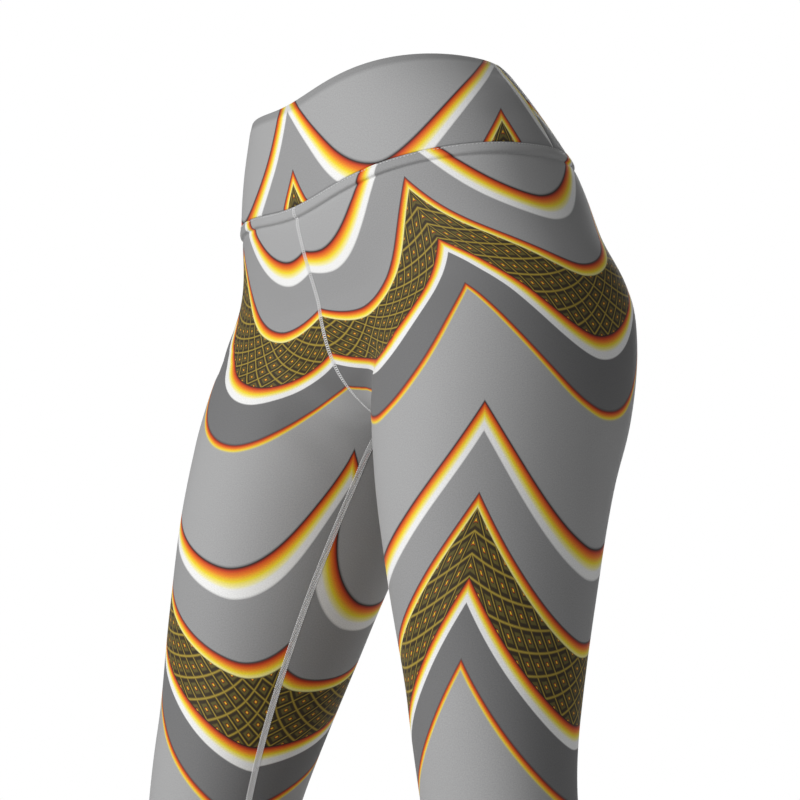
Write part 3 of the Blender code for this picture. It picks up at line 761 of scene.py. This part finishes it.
def makeBand(half):
    behind = math.radians(cut["sideSeamTurn"])
    last = -math.pi - behind if half == "front" else math.pi - behind
    columns = waistband["columns"][half]
    beside = np.array(waistband["besideSeams"])
    shares = np.sort(np.concatenate([np.arange(columns + 1), beside, columns - beside])) / columns
    turn = behind + (last - behind) * shares
    down = waistband["down"]
    steady = np.linspace(waistband["steadyFrom"], waistband["steadyTo"], waistband["steadyRows"])
    drops = np.unique(np.concatenate([down, steady]))
    rows = []
    for drop in drops:
        row = bandRing(turn, drop)
        inset = cut["seamGap"] / 2 * unit(row[1] - row[0])
        row[0] = row[0] + inset
        row[-1] = row[-1] + inset * [-1, 1, 1]
        rows.append(row)
    grid = np.array(rows)
    outwards = outwardAt(grid, "left")
    outwards[..., 2] = 0.0
    outwards = unit(outwards)
    across = alongRows(grid)
    fromSeam = np.minimum(across, across[:, -1:] - across)
    relief = np.interp(drops, down, waistband["outside"])[:, None]
    relief = relief - waistband["seamDip"] * np.exp(-((fromSeam / waistband["seamDipReach"]) ** 2))
    if half == "back":
        relief = relief + waistband["backProud"] * np.exp(-((fromSeam / waistband["backProudReach"]) ** 2))
    for hollow in bandHollows:
        if hollow["half"] == half:
            aside = np.radians(np.degrees(turn) - hollow["turn"]) * trunk["side"][1]
            below = drops[:, None] - hollow["down"]
            ratio = (aside / hollow["across"]) ** 2 + (below / hollow["tall"]) ** 2
            relief = relief - hollow["depth"] * np.exp(-ratio)
    inside = np.interp(drops, down, waistband["inside"])[:, None, None]
    piece = clothMesh(
        "waistband" + half.capitalize(),
        grid + outwards * relief[..., None],
        grid - outwards * inside,
        np.stack([across - across[:, -1:] / 2, np.broadcast_to(drops[:, None], across.shape)], axis=-1),
        [bandPrintAndShade, plainInside],
    )
    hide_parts("waistband_" + half)
    print(piece.name, len(piece.data.polygons), "faces")


makeBand("front")
makeBand("back")


threadFinish = {
    "shade": (0.56, 0.56, 0.565), "light": (0.82, 0.82, 0.82), "twist": 2600.0,
    "bump": 0.3, "roughness": 0.6, "sheen": 0.15,
}


def threadMaterial(name):
    material = bpy.data.materials.new(name)
    material.use_nodes = True
    tree = material.node_tree
    shader = tree.nodes["Principled BSDF"]
    place = tree.nodes.new("ShaderNodeTexCoord").outputs["Object"]
    twist = noiseNode(tree, place, threadFinish["twist"])
    pale = mixNode(tree, twist, threadFinish["shade"], threadFinish["light"])
    tree.links.new(pale, shader.inputs["Base Color"])
    bump = tree.nodes.new("ShaderNodeBump")
    bump.inputs["Strength"].default_value = threadFinish["bump"]
    bump.inputs["Distance"].default_value = knitFinish["loopDepth"]
    tree.links.new(twist, bump.inputs["Height"])
    tree.links.new(bump.outputs["Normal"], shader.inputs["Normal"])
    shader.inputs["Roughness"].default_value = threadFinish["roughness"]
    shader.inputs["Sheen Weight"].default_value = threadFinish["sheen"]
    return material


# Sewing, as rows of stitches: each stitch's half sizes along, across and up from the cloth.
ladderRows = (
    {"across": 0.0, "start": 1.2, "half": (0.58, 1.75, 0.28)},
    {"across": -1.6, "start": 2.1, "half": (0.92, 0.34, 0.26)},
    {"across": 1.6, "start": 2.1, "half": (0.92, 0.34, 0.26)},
)
honeycombRows = tuple(
    {"across": 1.05 * row, "start": 2.0 + 0.85 * (row % 2), "half": (0.86, 0.62, 0.30)}
    for row in range(-2, 3)
)
singleRow = ({"across": 0.0, "start": 1.5, "half": (1.15, 0.24, 0.20)},)
doubleRow = tuple({"across": aside, "start": 1.5, "half": (1.15, 0.24, 0.22)} for aside in (-1.2, 1.2))
stitching = {
    "rise": {"rows": ladderRows, "pitch": 1.8},
    "inseam": {"rows": honeycombRows, "pitch": 1.7},
    "waist": {"rows": singleRow, "pitch": 3.0, "below": 1.5},
    "hem": {"rows": doubleRow, "pitch": 3.0, "above": 17.0},
    "lift": 0.10, "search": 3.0,
}
thread = threadMaterial("paleThread")


def repeatedStitch(name, rows, pitch, length):
    # One stitch of each row, repeated along X over the length.
    bm = bmesh.new()
    for row in rows:
        ball = bmesh.ops.create_uvsphere(bm, u_segments=6, v_segments=4, radius=1.0)["verts"]
        bmesh.ops.scale(bm, verts=ball, vec=row["half"])
        bmesh.ops.translate(bm, verts=ball, vec=(row["start"], row["across"], 0.0))
    mesh = bpy.data.meshes.new(name)
    bm.to_mesh(mesh)
    bm.free()
    holder = bpy.data.objects.new(name + "Repeat", mesh)
    bpy.context.collection.objects.link(holder)
    array = holder.modifiers.new("repeat", "ARRAY")
    array.use_relative_offset = False
    array.use_constant_offset = True
    array.constant_offset_displace = (pitch, 0.0, 0.0)
    array.count = int((length - max(row["start"] for row in rows) - pitch / 2) / pitch) + 1
    evaluated = holder.evaluated_get(bpy.context.evaluated_depsgraph_get())
    repeated = bpy.data.meshes.new_from_object(evaluated)
    bpy.data.objects.remove(holder)
    bpy.data.meshes.remove(mesh)
    repeated.name = name
    return repeated


def onCloth(onForm, leg):
    # Where lines square to the form meet the leg's cloth from outside, and the way out, in the part's frame.
    outwards = outwardAt(onForm, leg)
    search = outwards * stitching["search"]
    above, below = placed(onForm + search), placed(onForm - search)
    found = above.copy()
    for count, (start, end) in enumerate(zip(above, below)):
        hit = clothTree[leg].ray_cast(Vector(start), Vector(end - start))[0]
        if hit is None or (hit - Vector(start)).length > np.linalg.norm(end - start):
            hit = clothTree[leg].find_nearest(Vector((start + end) / 2))[0]
        found[count] = hit
    return found, unit(above - below)


def sew(name, kind, line, legs):
    # Stitches along a line on the form. The pair legs names the leg on the line's left and on its right.
    length = lengthsAlong(line)[-1]
    mesh = repeatedStitch(name, stitching[kind]["rows"], stitching[kind]["pitch"], length)
    flat = np.empty(len(mesh.vertices) * 3, np.float32)
    mesh.vertices.foreach_get("co", flat)
    along, aside, up = flat.reshape(-1, 3).astype(float).T
    base = pointsAt(line, along)
    ahead = unit(pointsAt(line, along + 1.0) - pointsAt(line, along - 1.0))
    points = np.empty_like(base)
    for leg, under in zip(legs, (aside >= 0, aside < 0)):
        sideways = unit(np.cross(outwardAt(base[under], leg), ahead[under]))
        onForm = settle(base[under] + sideways * aside[under, None], leg, rounds=2)
        onSurface, outwards = onCloth(onForm, leg)
        points[under] = onSurface + outwards * (stitching["lift"] + up[under])[:, None] * metre
    mesh.vertices.foreach_set("co", points.astype(np.float32).ravel())
    mesh.update()
    addPiece(name, mesh, [thread])
    print(name, len(mesh.polygons), "faces")


asBuilt = bpy.context.evaluated_depsgraph_get()
clothTree = {name: BVHTree.FromObject(piece, asBuilt) for name, piece in legPieces.items()}
sew("riseStitches", "rise", riseLine("left") * [0, 1, 1], ("left", "right"))
for name, (grid, onRise) in legSurface.items():
    inseam = grid[onRise.sum() - 1 :, 0]
    waistLine = downColumns(grid, [stitching["waist"]["below"]])[0]
    hemLine = downColumns(grid[::-1], [stitching["hem"]["above"]])[0]
    sew("inseamStitches" + name.capitalize(), "inseam", inseam, (name, name))
    sew("waistStitches" + name.capitalize(), "waist", waistLine, (name, name))
    sew("hemStitches" + name.capitalize(), "hem", hemLine, (name, name))

# Camera, lights and floor, in degrees, metres and watts. The lens is in millimetres.
camera = {
    "azimuth": 50.0, "elevation": -5.4, "distance": 2.35, "across": 0.019, "up": -0.2455, "lens": 128.0,
}


def aimFrom(azimuth, elevation):
    azimuth, elevation = math.radians(azimuth), math.radians(elevation)
    level = math.cos(elevation)
    return Vector((math.sin(azimuth) * level, -math.cos(azimuth) * level, math.sin(elevation)))


def makeCamera():
    away = aimFrom(camera["azimuth"], camera["elevation"])
    azimuth = math.radians(camera["azimuth"])
    right = Vector((math.cos(azimuth), math.sin(azimuth), 0.0))
    target = right * camera["across"] + away.cross(right) * camera["up"]
    eye = bpy.data.objects.new("camera", bpy.data.cameras.new("camera"))
    eye.data.lens = camera["lens"]
    eye.location = target + away * camera["distance"]
    eye.rotation_euler = (-away).to_track_quat("-Z", "Y").to_euler()
    bpy.context.collection.objects.link(eye)
    bpy.context.scene.camera = eye


studio = {
    "key": {"azimuth": -5, "elevation": 26, "distance": 2.6, "size": 1.3, "power": 66},
    "fill": {"azimuth": 105, "elevation": 10, "distance": 3.0, "size": 1.6, "power": 11},
    "rim": {"azimuth": 222, "elevation": 24, "distance": 2.6, "size": 1.6, "power": 42},
    "ambient": 0.14, "backdrop": 1.0,
    "floorLevel": -1.04, "floorReach": 2.2, "floorWhole": 0.9,
    "floorColour": (0.82, 0.82, 0.82, 1.0), "floorRoughness": 0.8,
}


def makeLights():
    middle = (cadLow + cadHigh) / 2
    for name in ("key", "fill", "rim"):
        light = studio[name]
        lamp = bpy.data.objects.new(name + "Light", bpy.data.lights.new(name + "Light", "AREA"))
        lamp.data.energy = light["power"]
        lamp.data.size = light["size"]
        away = aimFrom(light["azimuth"], light["elevation"])
        lamp.location = middle + away * light["distance"]
        lamp.rotation_euler = (-away).to_track_quat("-Z", "Y").to_euler()
        bpy.context.collection.objects.link(lamp)
    world = bpy.data.worlds.new("studio")
    bpy.context.scene.world = world
    world.use_nodes = True
    tree = world.node_tree
    background = tree.nodes["Background"]
    seen = tree.nodes.new("ShaderNodeLightPath").outputs["Is Camera Ray"]
    strength = mathNode(tree, "MULTIPLY", seen, studio["backdrop"] - studio["ambient"])
    tree.links.new(mathNode(tree, "ADD", strength, studio["ambient"]), background.inputs["Strength"])
    background.inputs["Color"].default_value = (1.0, 1.0, 1.0, 1.0)


def makeFloor():
    # A round floor that fades out towards its rim.
    bm = bmesh.new()
    bmesh.ops.create_circle(bm, cap_ends=True, segments=96, radius=studio["floorReach"])
    bmesh.ops.translate(bm, verts=bm.verts, vec=(0.0, 0.0, studio["floorLevel"]))
    mesh = bpy.data.meshes.new("floor")
    bm.to_mesh(mesh)
    bm.free()
    paint = bpy.data.materials.new("floorPaint")
    paint.use_nodes = True
    tree = paint.node_tree
    shader = tree.nodes["Principled BSDF"]
    shader.inputs["Base Color"].default_value = studio["floorColour"]
    shader.inputs["Roughness"].default_value = studio["floorRoughness"]
    fromMiddle = tree.nodes.new("ShaderNodeVectorMath")
    fromMiddle.operation = "LENGTH"
    tree.links.new(tree.nodes.new("ShaderNodeTexCoord").outputs["Object"], fromMiddle.inputs[0])
    fade = tree.nodes.new("ShaderNodeMapRange")
    fade.interpolation_type = "SMOOTHSTEP"
    fade.inputs["From Min"].default_value = math.hypot(studio["floorLevel"], studio["floorWhole"])
    fade.inputs["From Max"].default_value = math.hypot(studio["floorLevel"], studio["floorReach"])
    fade.inputs["To Min"].default_value = 1.0
    fade.inputs["To Max"].default_value = 0.0
    tree.links.new(fromMiddle.outputs["Value"], fade.inputs["Value"])
    tree.links.new(fade.outputs["Result"], shader.inputs["Alpha"])
    mesh.materials.append(paint)
    floor = bpy.data.objects.new("floor", mesh)
    bpy.context.collection.objects.link(floor)


makeCamera()
makeLights()
makeFloor()
bpy.context.scene.view_settings.view_transform = "Standard"
print("camera, lights and floor ready")
